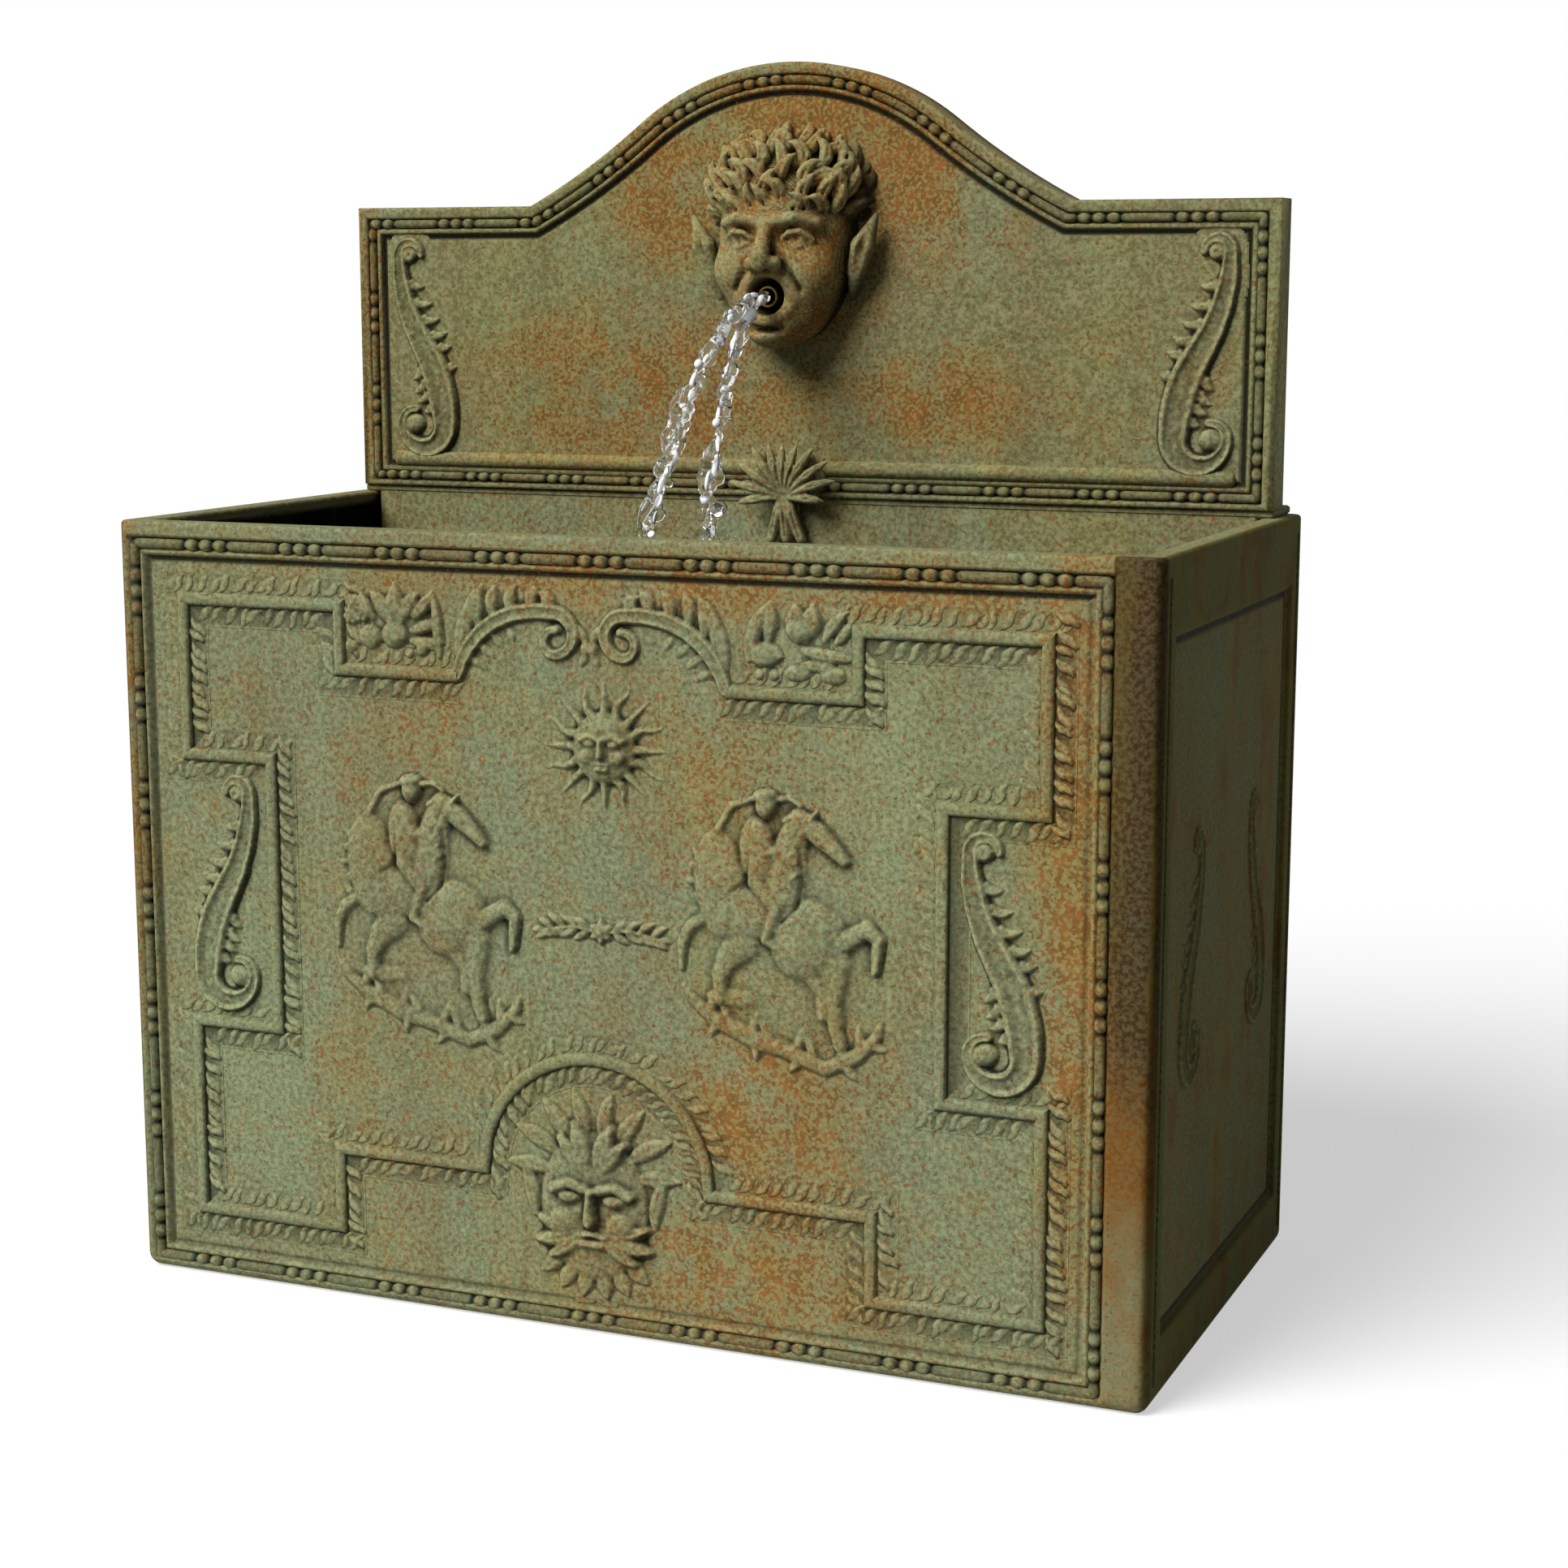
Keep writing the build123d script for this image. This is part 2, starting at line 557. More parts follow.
def make_panel():
    """Arched tray with a turned-back edge on the side rims, and a skirt that drops into the tank."""
    outline = panel_outline()
    body = extrude(face_plane(PANEL_BACK_Y) * outline, PANEL_RETURN)
    hollow = offset(outline, -PANEL_WALL, kind=Kind.INTERSECTION)
    body -= extrude(face_plane(PANEL_BACK_Y + OVERLAP) * hollow, PANEL_BACK_Y + OVERLAP - SKIN_BACK_Y)
    field = offset(outline, -PANEL_BORDER, kind=Kind.INTERSECTION)
    body -= extrude(face_plane(PANEL_FIELD_Y) * field, PANEL_RECESS + OVERLAP)
    ledge_low = (-PANEL_HALF_WIDTH, SKIN_BACK_Y - OVERLAP, TANK_HEIGHT)
    body += block(ledge_low, (PANEL_HALF_WIDTH, PANEL_BACK_Y, TANK_HEIGHT + LEDGE_THICKNESS))
    body += block(
        (-SKIRT_HALF_WIDTH, SKIRT_FRONT_Y, TANK_HEIGHT - SKIRT_DROP),
        (SKIRT_HALF_WIDTH, SKIRT_BACK_Y, TANK_HEIGHT + LEDGE_THICKNESS),
    )
    moulding = rod_x(
        -PANEL_HALF_WIDTH, PANEL_HALF_WIDTH, PANEL_FRONT_Y + MOULDING_SINK, MOULDING_Z, MOULDING_RADIUS
    )
    body += moulding & block(
        (-PANEL_HALF_WIDTH, PANEL_FRONT_Y - MOULDING_RADIUS, TANK_HEIGHT),
        (PANEL_HALF_WIDTH, PANEL_FIELD_Y + OVERLAP, SHOULDER_Z),
    )
    scroll = Pos(-(PANEL_HALF_WIDTH - PANEL_SCROLL_EDGE), TANK_HEIGHT + PANEL_SCROLL_RISE) * s_scroll()
    body += raised(mirrored(scroll), PANEL_FIELD_Y, SCROLL_THICKNESS)

    slot = RISER_RADIUS + RISER_HOLE_CLEARANCE
    body -= block(
        (-slot, max(RISER_Y - slot, SKIN_BACK_Y), TANK_HEIGHT - OVERLAP),
        (slot, BACK_Y, TANK_HEIGHT + LEDGE_THICKNESS + OVERLAP),
    )
    body -= hole_y(PANEL_FRONT_Y, SKIN_BACK_Y, 0, SPOUT_Z, SPOUT_RADIUS + SPOUT_CLEARANCE)
    for x in BOLT_XS:
        body -= hole_y(SKIRT_FRONT_Y, SKIRT_BACK_Y, x, BOLT_Z, BOLT_RADIUS + BOLT_HOLE_CLEARANCE)
    for x, z in mask_screw_places() + leaf_screw_places():
        hole_radius = SCREW_RADIUS + BOLT_HOLE_CLEARANCE
        body -= hole_y(PANEL_FRONT_Y - MOULDING_RADIUS, SKIN_BACK_Y, x, z, hole_radius)
    return body


def mask_screw_places():
    return [(side * MASK_SCREW_X, SPOUT_Z + rise) for side in (-1, 1) for rise in MASK_SCREW_RISES]


def leaf_screw_places():
    return [(side * LEAF_SCREW_X, MOULDING_Z + LEAF_SCREW_RISE) for side in (-1, 1)]


def make_mask():
    """Plain head form: face, leafy hair mass, nose, ears and an open mouth."""
    nose_y = PANEL_FIELD_Y + MASK_SINK - MASK_RADIUS
    head = spheroid(0, PANEL_FIELD_Y + MASK_SINK, SPOUT_Z + MASK_RISE, MASK_RADIUS, MASK_HALF_HEIGHT)
    hair_y = PANEL_FIELD_Y + MASK_HAIR_SINK
    head += spheroid(0, hair_y, SPOUT_Z + MASK_HAIR_RISE, MASK_HAIR_RADIUS, MASK_HAIR_HALF_HEIGHT)
    head += spheroid(0, nose_y, SPOUT_Z + MASK_NOSE_RISE, MASK_NOSE_RADIUS, MASK_NOSE_HALF_HEIGHT)
    ear_y = PANEL_FIELD_Y - MASK_EAR_RADIUS
    for side in (-1, 1):
        ear_z = SPOUT_Z + MASK_EAR_RISE
        head += spheroid(side * MASK_EAR_X, ear_y, ear_z, MASK_EAR_RADIUS, MASK_EAR_HALF_HEIGHT)
    lip_y = SPOUT_TIP_Y - MOUTH_DEPTH
    head += rod_y(lip_y, PANEL_FIELD_Y, 0, SPOUT_Z, MOUTH_LIP_RADIUS)
    behind = 2 * MASK_HAIR_RADIUS
    head -= block((-behind, PANEL_FIELD_Y, 0), (behind, PANEL_FIELD_Y + behind, APEX_Z + behind))
    head -= rod_y(lip_y - OVERLAP, SPOUT_TIP_Y, 0, SPOUT_Z, MOUTH_RADIUS)
    head -= hole_y(SPOUT_TIP_Y, PANEL_FIELD_Y, 0, SPOUT_Z, SPOUT_RADIUS + SPOUT_CLEARANCE)
    for x, z in mask_screw_places():
        head -= hole_y(
            PANEL_FIELD_Y - MASK_SCREW_GRIP, PANEL_FIELD_Y, x, z, SCREW_RADIUS + THREAD_CLEARANCE
        )
    return head


def make_leaf():
    """Leaf tuft over the foot moulding, with its stem running down the skirt."""
    tuft = Sketch()
    for index in range(LEAF_LOBES):
        turn = (index / (LEAF_LOBES - 1) - 0.5) * LEAF_SPREAD
        reach = LEAF_HALF_WIDTH + (LEAF_TIP_RISE - LEAF_HALF_WIDTH) * cos(radians(turn))
        lobe = Pos(0, reach / 2) * Ellipse(reach / 2 / LOBE_SLENDERNESS, reach / 2)
        tuft += Rot(0, 0, turn) * lobe
    tuft = Pos(0, MOULDING_Z) * tuft
    stem = Pos(0, MOULDING_Z - LEAF_STEM_DROP / 2) * Rectangle(2 * LEAF_STEM_HALF_WIDTH, LEAF_STEM_DROP)
    front_y = PANEL_FRONT_Y - LEAF_THICKNESS
    leaf = extrude(face_plane(PANEL_FRONT_Y - LEAF_FIT) * (tuft + stem), LEAF_THICKNESS - LEAF_FIT)
    low_stem = block(
        (-LEAF_STEM_HALF_WIDTH, front_y, MOULDING_Z - LEAF_STEM_DROP),
        (LEAF_STEM_HALF_WIDTH, SKIRT_FRONT_Y - LEAF_FIT, TANK_HEIGHT - LEAF_FIT),
    )
    leaf += low_stem
    leaf -= rod_x(
        -PANEL_HALF_WIDTH, PANEL_HALF_WIDTH,
        PANEL_FRONT_Y + MOULDING_SINK, MOULDING_Z, MOULDING_RADIUS + LEAF_FIT,
    )
    for x, z in leaf_screw_places():
        hole_radius = SCREW_RADIUS + THREAD_CLEARANCE
        leaf -= hole_y(PANEL_FRONT_Y - LEAF_SCREW_GRIP, PANEL_FRONT_Y, x, z, hole_radius)
    return leaf


def screw(x, z, tip_y):
    """Pan-head screw driven from behind the panel towards the front."""
    head = rod_y(SKIN_BACK_Y, SKIN_BACK_Y + SCREW_HEAD_HEIGHT, x, z, SCREW_HEAD_RADIUS)
    return head + rod_y(tip_y, SKIN_BACK_Y + OVERLAP, x, z, SCREW_RADIUS)


def panel_bolt(x):
    under_head = SKIRT_FRONT_Y - WASHER_THICKNESS
    head = hex_y(under_head - BOLT_HEAD_HEIGHT, under_head, x, BOLT_Z, BOLT_HEAD_RADIUS)
    return head + rod_y(under_head - OVERLAP, under_head + BOLT_LENGTH, x, BOLT_Z, BOLT_RADIUS)


def panel_washer(x):
    ring = rod_y(SKIRT_FRONT_Y - WASHER_THICKNESS, SKIRT_FRONT_Y, x, BOLT_Z, WASHER_RADIUS)
    return ring - hole_y(
        SKIRT_FRONT_Y - WASHER_THICKNESS, SKIRT_FRONT_Y, x, BOLT_Z, BOLT_RADIUS + BOLT_HOLE_CLEARANCE
    )


def panel_insert(x):
    end_y = SKIRT_BACK_Y + INSERT_LENGTH
    sleeve = rod_y(SKIRT_BACK_Y, end_y, x, BOLT_Z, INSERT_RADIUS)
    return sleeve - hole_y(SKIRT_BACK_Y, end_y, x, BOLT_Z, BOLT_RADIUS + THREAD_CLEARANCE)


def make_spout_pipe():
    tail_y = ELBOW_FACE_Y + SPOUT_SOCKET_DEPTH
    pipe = rod_y(SPOUT_TIP_Y, tail_y, 0, SPOUT_Z, SPOUT_RADIUS)
    return pipe - hole_y(SPOUT_TIP_Y, tail_y, 0, SPOUT_Z, SPOUT_BORE_RADIUS)


def make_spout_seal():
    ring = rod_y(SKIN_BACK_Y, SKIN_BACK_Y + SEAL_THICKNESS, 0, SPOUT_Z, SEAL_RADIUS)
    return ring - hole_y(SKIN_BACK_Y, ELBOW_FACE_Y, 0, SPOUT_Z, SPOUT_RADIUS + FITTING_CLEARANCE)


def make_spout_nut():
    start_y = SKIN_BACK_Y + SEAL_THICKNESS
    nut = hex_y(start_y, start_y + NUT_THICKNESS, 0, SPOUT_Z, NUT_RADIUS)
    return nut - rod_y(SKIN_BACK_Y, ELBOW_FACE_Y + OVERLAP, 0, SPOUT_Z, SPOUT_RADIUS + FITTING_CLEARANCE)


def make_elbow():
    low_z = SPOUT_Z - ELBOW_DROP
    elbow = rod_z(low_z, SPOUT_Z, 0, RISER_Y, ELBOW_RADIUS)
    elbow += Pos(0, RISER_Y, SPOUT_Z) * Sphere(ELBOW_RADIUS)
    elbow += rod_y(ELBOW_FACE_Y, RISER_Y, 0, SPOUT_Z, ELBOW_BRANCH_RADIUS)
    elbow -= rod_z(low_z - OVERLAP, RISER_TOP_Z, 0, RISER_Y, RISER_RADIUS + FITTING_CLEARANCE)
    elbow -= rod_z(low_z, SPOUT_Z, 0, RISER_Y, RISER_BORE_RADIUS)
    elbow -= Pos(0, RISER_Y, SPOUT_Z) * Sphere(RISER_BORE_RADIUS)
    socket_end = ELBOW_FACE_Y + SPOUT_SOCKET_DEPTH
    socket_radius = SPOUT_RADIUS + FITTING_CLEARANCE
    elbow -= rod_y(ELBOW_FACE_Y - OVERLAP, socket_end, 0, SPOUT_Z, socket_radius)
    elbow -= rod_y(ELBOW_FACE_Y, RISER_Y, 0, SPOUT_Z, SPOUT_BORE_RADIUS)
    return elbow


def make_riser():
    pipe = rod_z(RISER_BASE_Z, RISER_TOP_Z, 0, RISER_Y, RISER_RADIUS)
    pipe += rod_z(RISER_BASE_Z, RISER_BASE_Z + RISER_COLLAR_HEIGHT, 0, RISER_Y, OUTLET_RADIUS)
    return pipe - hole_z(RISER_BASE_Z, RISER_TOP_Z, 0, RISER_Y, RISER_BORE_RADIUS)


def pipe_clip(z):
    """Clip bonded to the back of the panel, open to the rear so that the pipe snaps in."""
    half = CLIP_HEIGHT / 2
    bore = RISER_RADIUS + FITTING_CLEARANCE
    clip = rod_z(z - half, z + half, 0, RISER_Y, bore + CLIP_WALL)
    base = CLIP_BASE_WIDTH / 2
    clip += block((-base, SKIN_BACK_Y, z - half), (base, RISER_Y, z + half))
    clip -= hole_z(z - half, z + half, 0, RISER_Y, bore)
    mouth_y = RISER_Y + 2 * (bore + CLIP_WALL)
    return clip - block(
        (-CLIP_MOUTH / 2, RISER_Y, z - half - OVERLAP), (CLIP_MOUTH / 2, mouth_y, z + half + OVERLAP)
    )


def make_union_nut():
    step_z = RISER_BASE_Z + RISER_COLLAR_HEIGHT + UNION_CLEARANCE
    low_z = OUTLET_TOP_Z - UNION_SKIRT
    nut = hex_z(low_z, step_z + UNION_NECK, 0, RISER_Y, UNION_RADIUS)
    nut -= rod_z(low_z - OVERLAP, step_z, 0, RISER_Y, OUTLET_RADIUS + UNION_CLEARANCE)
    return nut - hole_z(step_z, step_z + UNION_NECK, 0, RISER_Y, RISER_RADIUS + UNION_CLEARANCE)


def make_outlet_seal():
    ring = rod_z(OUTLET_TOP_Z, RISER_BASE_Z, 0, RISER_Y, OUTLET_RADIUS)
    return ring - hole_z(OUTLET_TOP_Z, RISER_BASE_Z, 0, RISER_Y, RISER_BORE_RADIUS)


def stator_core():
    inner = WELL_RADIUS + STATOR_WALL
    outer = inner + STATOR_LEG
    yoke_x = WELL_END_X - BUSH_LENGTH - YOKE_SETBACK
    low_z = PUMP_AXIS_Z - STATOR_HALF_HEIGHT
    high_z = PUMP_AXIS_Z + STATOR_HALF_HEIGHT
    core = block(
        (yoke_x - YOKE_WIDTH, PUMP_AXIS_Y - outer, low_z), (yoke_x, PUMP_AXIS_Y + outer, high_z)
    )
    leg_end = -CHAMBER_HALF_WIDTH - STATOR_LEG_END
    for side in (-1, 1):
        ends = sorted((PUMP_AXIS_Y + side * inner, PUMP_AXIS_Y + side * outer))
        core += block((yoke_x - OVERLAP, ends[0], low_z), (leg_end, ends[1], high_z))
    return core


def stator_coil():
    yoke_x = WELL_END_X - BUSH_LENGTH - YOKE_SETBACK
    half_z = STATOR_HALF_HEIGHT + COIL_BUILD
    coil = block(
        (yoke_x - YOKE_WIDTH - COIL_BUILD, PUMP_AXIS_Y - COIL_HALF_LENGTH, PUMP_AXIS_Z - half_z),
        (yoke_x + COIL_BUILD, PUMP_AXIS_Y + COIL_HALF_LENGTH, PUMP_AXIS_Z + half_z),
    )
    return coil - stator_core()


def cup_places():
    near_x = VOLUTE_HALF_WIDTH - CUP_INSET
    far_x = MOTOR_END_X + CUP_INSET
    half_y = VOLUTE_RADIUS + PUMP_PLATE_OVERHANG - CUP_INSET
    return [(x, PUMP_AXIS_Y + side * half_y) for x in (far_x, near_x) for side in (-1, 1)]


def make_pump_housing():
    motor = block(
        (MOTOR_END_X, PUMP_AXIS_Y - VOLUTE_RADIUS, PUMP_BASE_Z),
        (-CHAMBER_HALF_WIDTH, PUMP_AXIS_Y + VOLUTE_RADIUS, PUMP_AXIS_Z + VOLUTE_RADIUS),
    )
    motor = fillet(motor.edges().filter_by(Axis.X), MOTOR_CORNER_RADIUS)
    housing = motor + pump_rod(-VOLUTE_HALF_WIDTH, VOLUTE_HALF_WIDTH, VOLUTE_RADIUS)
    plate_half = VOLUTE_RADIUS + PUMP_PLATE_OVERHANG
    housing += block(
        (MOTOR_END_X, PUMP_AXIS_Y - plate_half, PUMP_BASE_Z),
        (VOLUTE_HALF_WIDTH, PUMP_AXIS_Y + plate_half, PUMP_BASE_Z + PUMP_PLATE),
    )
    housing += rod_z(PUMP_AXIS_Z, OUTLET_TOP_Z, 0, RISER_Y, OUTLET_RADIUS)
    housing -= pump_rod(-CHAMBER_HALF_WIDTH, VOLUTE_HALF_WIDTH + OVERLAP, CHAMBER_RADIUS)
    housing -= pump_rod(CHAMBER_HALF_WIDTH, VOLUTE_HALF_WIDTH + OVERLAP, COVER_RADIUS)
    housing -= pump_rod(WELL_END_X, 0, WELL_RADIUS)
    housing -= pump_rod(WELL_END_X - BUSH_LENGTH, WELL_END_X + OVERLAP, BUSH_RADIUS)
    housing -= rod_z(PUMP_AXIS_Z, OUTLET_TOP_Z + OVERLAP, 0, RISER_Y, OUTLET_BORE_RADIUS)
    for x, y in cup_places():
        hole_radius = CUP_STEM_RADIUS + FITTING_CLEARANCE
        housing -= hole_z(PUMP_BASE_Z, PUMP_BASE_Z + PUMP_PLATE, x, y, hole_radius)
    housing -= rod_x(
        MOTOR_END_X - OVERLAP, MOTOR_END_X + GLAND_SPIGOT_LENGTH,
        PUMP_AXIS_Y, PUMP_AXIS_Z + GLAND_RISE, GLAND_SPIGOT_RADIUS + FITTING_CLEARANCE,
    )
    housing -= stator_core()
    housing -= stator_coil()
    return housing


def suction_cup(x, y):
    cup = Pos(x, y, TANK_FLOOR + CUP_HEIGHT / 2) * Cone(CUP_RADIUS, CUP_NECK_RADIUS, CUP_HEIGHT)
    return cup + rod_z(PUMP_BASE_Z - OVERLAP, PUMP_BASE_Z + PUMP_PLATE, x, y, CUP_STEM_RADIUS)


def make_rotor():
    """Magnet and impeller in one piece, running on the fixed shaft."""
    rear_x = WELL_END_X + ROTOR_END_PLAY
    disc_x = -CHAMBER_HALF_WIDTH + IMPELLER_GAP
    front_x = CHAMBER_HALF_WIDTH - VANE_FRONT_GAP
    rotor = pump_rod(rear_x, disc_x, MAGNET_RADIUS)
    rotor += pump_rod(disc_x, disc_x + IMPELLER_DISC, IMPELLER_RADIUS)
    rotor += pump_rod(disc_x, front_x, IMPELLER_HUB_RADIUS)
    place = Pos(0, PUMP_AXIS_Y, PUMP_AXIS_Z)
    hub_sink = IMPELLER_HUB_RADIUS - OVERLAP
    for index in range(VANE_COUNT):
        vane = block(
            (disc_x, -VANE_THICKNESS / 2, hub_sink),
            (front_x, VANE_THICKNESS / 2, IMPELLER_RADIUS - VANE_TIP_GAP),
        )
        rotor += place * Rot(index * 360 / VANE_COUNT, 0, 0) * vane
    return rotor - pump_hole(rear_x, front_x, SHAFT_RADIUS + SHAFT_CLEARANCE)


def hub_start_x():
    return CHAMBER_HALF_WIDTH - COVER_HUB_STANDOFF


def make_shaft():
    end_x = hub_start_x() + FRONT_BUSH_LENGTH
    return pump_rod(WELL_END_X - BUSH_LENGTH, end_x, SHAFT_RADIUS)


def make_bushes():
    rear = pump_rod(WELL_END_X - BUSH_LENGTH, WELL_END_X, BUSH_RADIUS)
    front_end = hub_start_x() + FRONT_BUSH_LENGTH
    front = pump_rod(hub_start_x(), front_end, FRONT_BUSH_RADIUS)
    bore = pump_hole(WELL_END_X - BUSH_LENGTH, front_end, SHAFT_RADIUS)
    return [rear - bore, front - bore]


def make_cover():
    end_x = VOLUTE_HALF_WIDTH
    hub_radius = FRONT_BUSH_RADIUS + COVER_HUB_WALL
    cover = pump_rod(CHAMBER_HALF_WIDTH, end_x, COVER_RADIUS - COVER_CLEARANCE)
    cover -= pump_hole(CHAMBER_HALF_WIDTH, end_x, INLET_RADIUS)
    place = Pos(0, PUMP_AXIS_Y, PUMP_AXIS_Z)
    for index in range(SPOKE_COUNT):
        spoke = block(
            (CHAMBER_HALF_WIDTH, -SPOKE_WIDTH / 2, hub_radius - OVERLAP),
            (end_x, SPOKE_WIDTH / 2, INLET_RADIUS + OVERLAP),
        )
        cover += place * Rot(index * 360 / SPOKE_COUNT, 0, 0) * spoke
    cover += pump_rod(hub_start_x(), end_x, hub_radius)
    bush_end = hub_start_x() + FRONT_BUSH_LENGTH
    return cover - pump_rod(hub_start_x() - OVERLAP, bush_end, FRONT_BUSH_RADIUS)


def make_strainer():
    """Slotted cap over the inlet, held by two tongues along the sides of the chamber."""
    half = STRAINER_HALF_WIDTH
    low_z = PUMP_AXIS_Z - VOLUTE_RADIUS
    high_z = PUMP_AXIS_Z + VOLUTE_RADIUS
    cap_body = block(
        (STRAINER_BACK_X, PUMP_AXIS_Y - half, low_z), (STRAINER_FRONT_X, PUMP_AXIS_Y + half, high_z)
    )
    cap_body = fillet(cap_body.edges().filter_by(Axis.X), STRAINER_CORNER_RADIUS)
    inner = half - STRAINER_WALL
    room = block(
        (STRAINER_BACK_X - OVERLAP, PUMP_AXIS_Y - inner, low_z + STRAINER_WALL),
        (STRAINER_FRONT_X - STRAINER_WALL, PUMP_AXIS_Y + inner, high_z - STRAINER_WALL),
    )
    inner_radius = max(STRAINER_CORNER_RADIUS - STRAINER_WALL, FILLET_ROOM)
    cap_body -= fillet(room.edges().filter_by(Axis.X), inner_radius)
    for side in (-1, 1):
        ends = sorted((PUMP_AXIS_Y + side * inner, PUMP_AXIS_Y + side * half))
        cap_body += block(
            (STRAINER_BACK_X - TONGUE_LENGTH, ends[0], PUMP_AXIS_Z - TONGUE_HALF_HEIGHT),
            (STRAINER_BACK_X + OVERLAP, ends[1], PUMP_AXIS_Z + TONGUE_HALF_HEIGHT),
        )
    first = -(SLOT_COLUMNS - 1) / 2 * SLOT_PITCH
    behind_face = STRAINER_FRONT_X - STRAINER_WALL - OVERLAP
    for column in range(SLOT_COLUMNS):
        y = PUMP_AXIS_Y + first + column * SLOT_PITCH
        for z in (PUMP_AXIS_Z - SLOT_RISE, PUMP_AXIS_Z + SLOT_RISE):
            cap_body -= block(
                (behind_face, y - SLOT_WIDTH / 2, z - SLOT_LENGTH / 2),
                (STRAINER_FRONT_X + OVERLAP, y + SLOT_WIDTH / 2, z + SLOT_LENGTH / 2),
            )
        middle_x = (STRAINER_BACK_X + STRAINER_FRONT_X) / 2
        cap_body -= block(
            (middle_x - SLOT_LENGTH / 2, y - SLOT_WIDTH / 2, high_z - STRAINER_WALL - OVERLAP),
            (middle_x + SLOT_LENGTH / 2, y + SLOT_WIDTH / 2, high_z + OVERLAP),
        )
    return cap_body - pump_rod(behind_face, STRAINER_FRONT_X + OVERLAP, DIAL_STEM_RADIUS + DIAL_CLEARANCE)


def make_dial():
    """Flow dial in the strainer's face, with a keeper disc on the inside."""
    face_x = STRAINER_FRONT_X + DIAL_CLEARANCE
    keeper_x = STRAINER_FRONT_X - STRAINER_WALL - DIAL_CLEARANCE
    dial = pump_rod(face_x, face_x + DIAL_HEIGHT, DIAL_RADIUS)
    dial += pump_rod(keeper_x - OVERLAP, face_x + OVERLAP, DIAL_STEM_RADIUS)
    dial += pump_rod(keeper_x - DIAL_KEEPER_THICKNESS, keeper_x, DIAL_KEEPER_RADIUS)
    grip_x = face_x + DIAL_HEIGHT
    half_y = DIAL_GRIP_WIDTH / 2
    half_z = DIAL_RADIUS - DIAL_GRIP_INSET
    return dial + block(
        (grip_x - OVERLAP, PUMP_AXIS_Y - half_y, PUMP_AXIS_Z - half_z),
        (grip_x + DIAL_GRIP_HEIGHT, PUMP_AXIS_Y + half_y, PUMP_AXIS_Z + half_z),
    )


def make_pump_gland():
    z = PUMP_AXIS_Z + GLAND_RISE
    start_x = MOTOR_END_X - GLAND_LENGTH
    spigot_x = MOTOR_END_X + GLAND_SPIGOT_LENGTH
    gland = rod_x(start_x, MOTOR_END_X, PUMP_AXIS_Y, z, GLAND_RADIUS)
    gland += rod_x(MOTOR_END_X - OVERLAP, spigot_x, PUMP_AXIS_Y, z, GLAND_SPIGOT_RADIUS)
    return gland - rod_x(start_x - OVERLAP, MOTOR_END_X, PUMP_AXIS_Y, z, GLAND_BORE_RADIUS)


def make_grommet():
    flange_y = WALL_INNER_Y - GROMMET_FLANGE
    grommet = rod_y(WALL_INNER_Y, BACK_Y, GROMMET_X, GROMMET_Z, GROMMET_RADIUS)
    grommet += rod_y(flange_y, WALL_INNER_Y, GROMMET_X, GROMMET_Z, GROMMET_FLANGE_RADIUS)
    return grommet - hole_y(flange_y, BACK_Y, GROMMET_X, GROMMET_Z, GROMMET_BORE_RADIUS)


def make_drain_bush():
    top_z = TANK_FLOOR + DRAIN_FLANGE_THICKNESS
    bush = rod_z(DRAIN_BUSH_RECESS, TANK_FLOOR, DRAIN_X, DRAIN_Y, DRAIN_BUSH_RADIUS)
    bush += rod_z(TANK_FLOOR, top_z, DRAIN_X, DRAIN_Y, DRAIN_FLANGE_RADIUS)
    return bush - hole_z(DRAIN_BUSH_RECESS, top_z, DRAIN_X, DRAIN_Y, DRAIN_BORE_RADIUS)


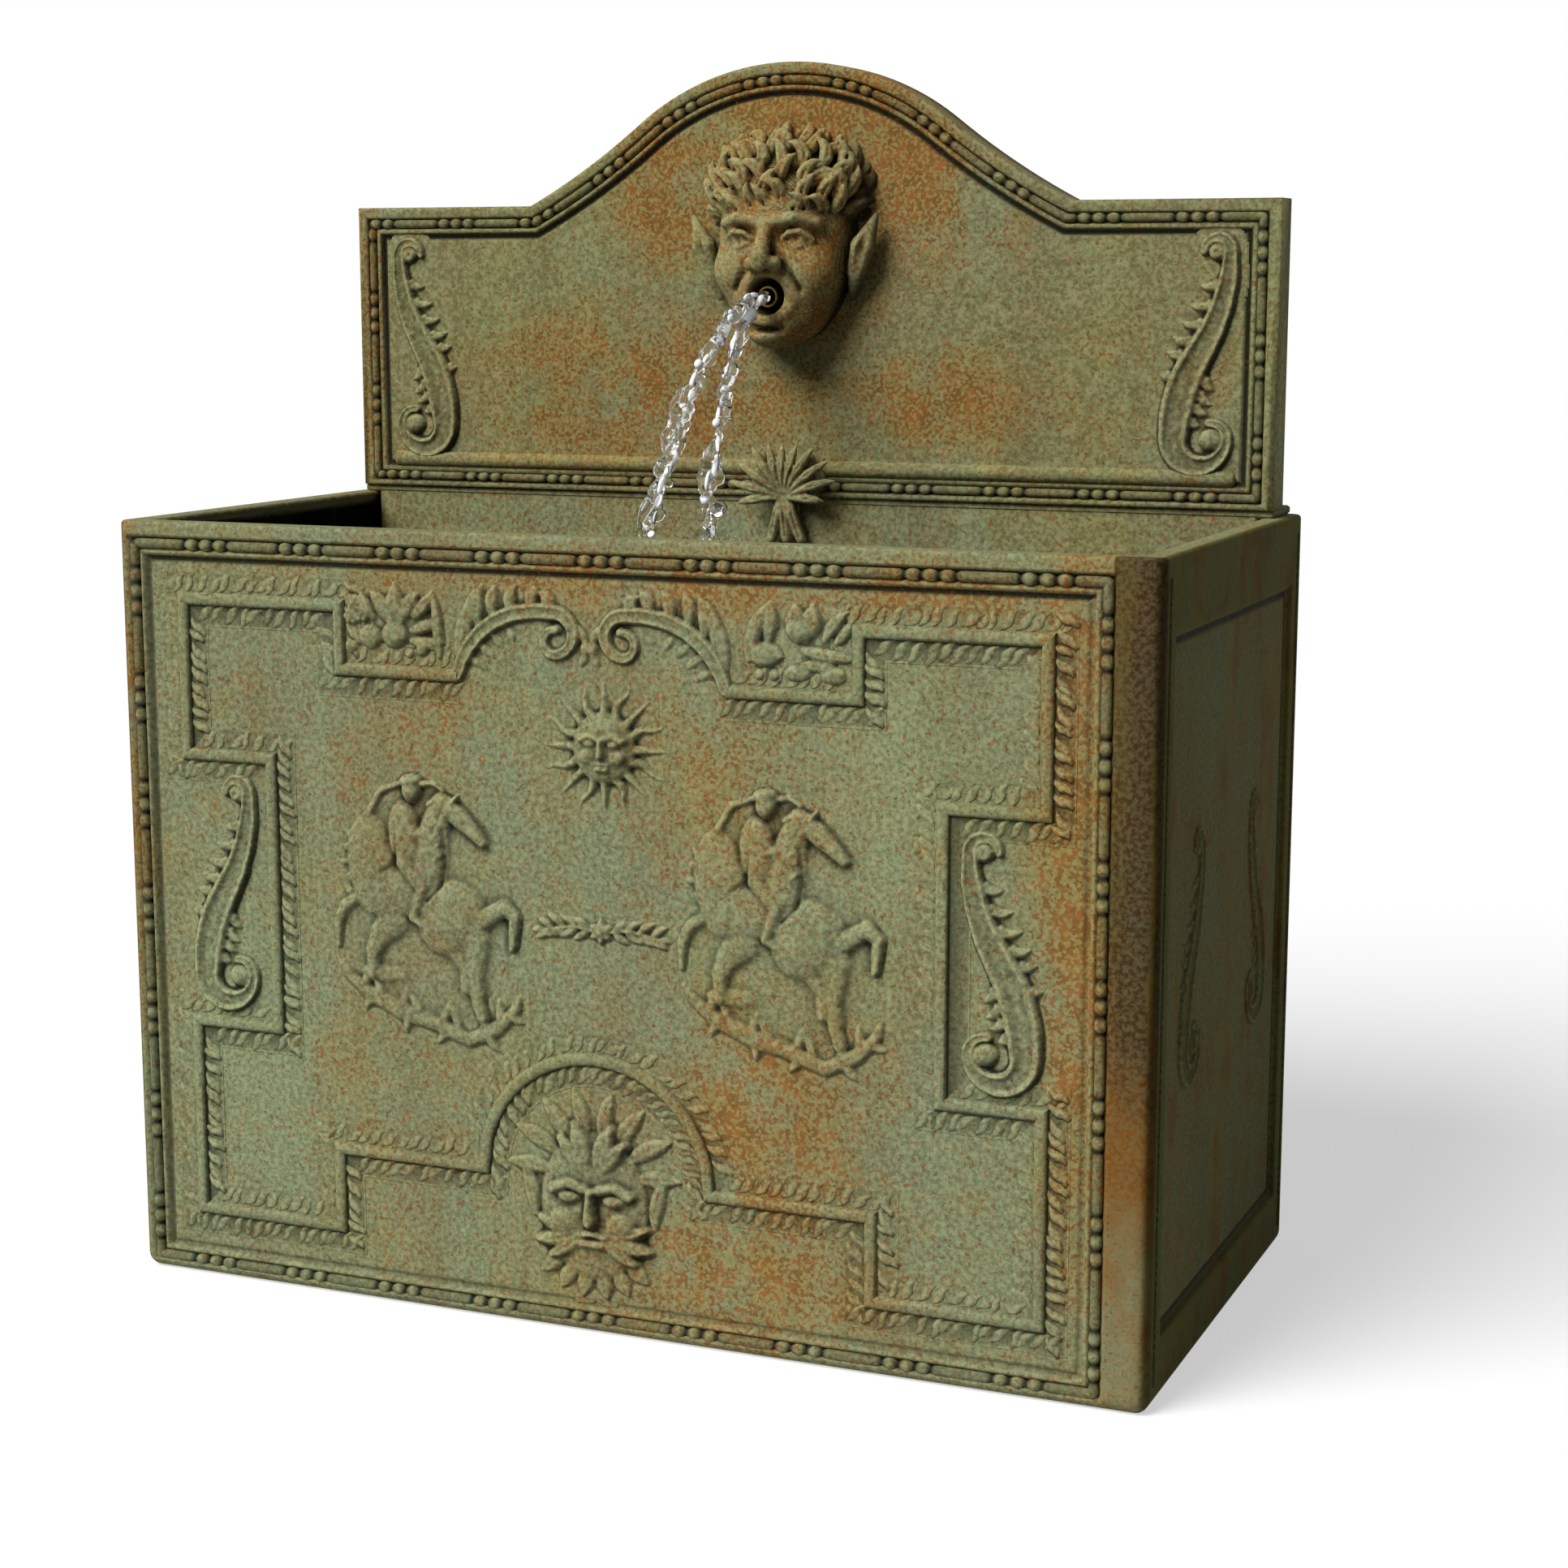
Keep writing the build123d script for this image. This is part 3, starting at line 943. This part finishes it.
def make_bung():
    """Rubber bung with a pull tab, resting on the bush's flange."""
    seat_z = TANK_FLOOR + DRAIN_FLANGE_THICKNESS
    plug_radius = DRAIN_BORE_RADIUS - BUNG_CLEARANCE
    head_top = seat_z + BUNG_HEAD_HEIGHT
    bung = rod_z(seat_z - BUNG_PLUG_LENGTH, seat_z, DRAIN_X, DRAIN_Y, plug_radius)
    bung += rod_z(seat_z, head_top, DRAIN_X, DRAIN_Y, BUNG_HEAD_RADIUS)
    bung += block(
        (DRAIN_X - BUNG_TAB_WIDTH / 2, DRAIN_Y - BUNG_TAB_THICKNESS / 2, head_top - OVERLAP),
        (DRAIN_X + BUNG_TAB_WIDTH / 2, DRAIN_Y + BUNG_TAB_THICKNESS / 2, head_top + BUNG_TAB_HEIGHT),
    )
    eye_z = head_top + BUNG_TAB_HEIGHT / 2
    half_tab = BUNG_TAB_THICKNESS / 2
    return bung - hole_y(DRAIN_Y - half_tab, DRAIN_Y + half_tab, DRAIN_X, eye_z, BUNG_EYE_RADIUS)


def group(solids):
    """Several separate solids kept in one node."""
    return Compound(children=[solid for shape in solids for solid in shape.solids()])


def make_parts():
    mask_tip = PANEL_FIELD_Y - MASK_SCREW_GRIP
    leaf_tip = PANEL_FRONT_Y - LEAF_SCREW_GRIP
    clip_heights = (TANK_HEIGHT + LEDGE_THICKNESS + CLIP_ABOVE_LEDGE, SPOUT_Z - CLIP_BELOW_SPOUT)
    return {
        "cistern_tank": make_tank(),
        "splashback_panel": make_panel(),
        "face_mask": make_mask(),
        "leaf_ornament": make_leaf(),
        "panel_bolts": group([panel_bolt(x) for x in BOLT_XS]),
        "panel_bolt_washers": group([panel_washer(x) for x in BOLT_XS]),
        "panel_inserts": group([panel_insert(x) for x in BOLT_XS]),
        "mask_screws": group([screw(x, z, mask_tip) for x, z in mask_screw_places()]),
        "leaf_screws": group([screw(x, z, leaf_tip) for x, z in leaf_screw_places()]),
        "spout_pipe": make_spout_pipe(),
        "spout_seal_washer": make_spout_seal(),
        "spout_lock_nut": make_spout_nut(),
        "spout_elbow": make_elbow(),
        "riser_pipe": make_riser(),
        "pipe_clips": group([pipe_clip(z) for z in clip_heights]),
        "riser_union_nut": make_union_nut(),
        "outlet_seal": make_outlet_seal(),
        "pump_housing": make_pump_housing(),
        "stator_core": stator_core(),
        "stator_coil": stator_coil(),
        "pump_rotor": make_rotor(),
        "rotor_shaft": make_shaft(),
        "shaft_bushes": group(make_bushes()),
        "chamber_cover": make_cover(),
        "pump_strainer": make_strainer(),
        "flow_dial": make_dial(),
        "pump_suction_cups": group([suction_cup(x, y) for x, y in cup_places()]),
        "pump_cable_gland": make_pump_gland(),
        "cable_grommet": make_grommet(),
        "drain_bush": make_drain_bush(),
        "drain_bung": make_bung(),
    }


os.makedirs("parts", exist_ok=True)
for name, shape in make_parts().items():
    export_step(shape, f"parts/{name}.step")
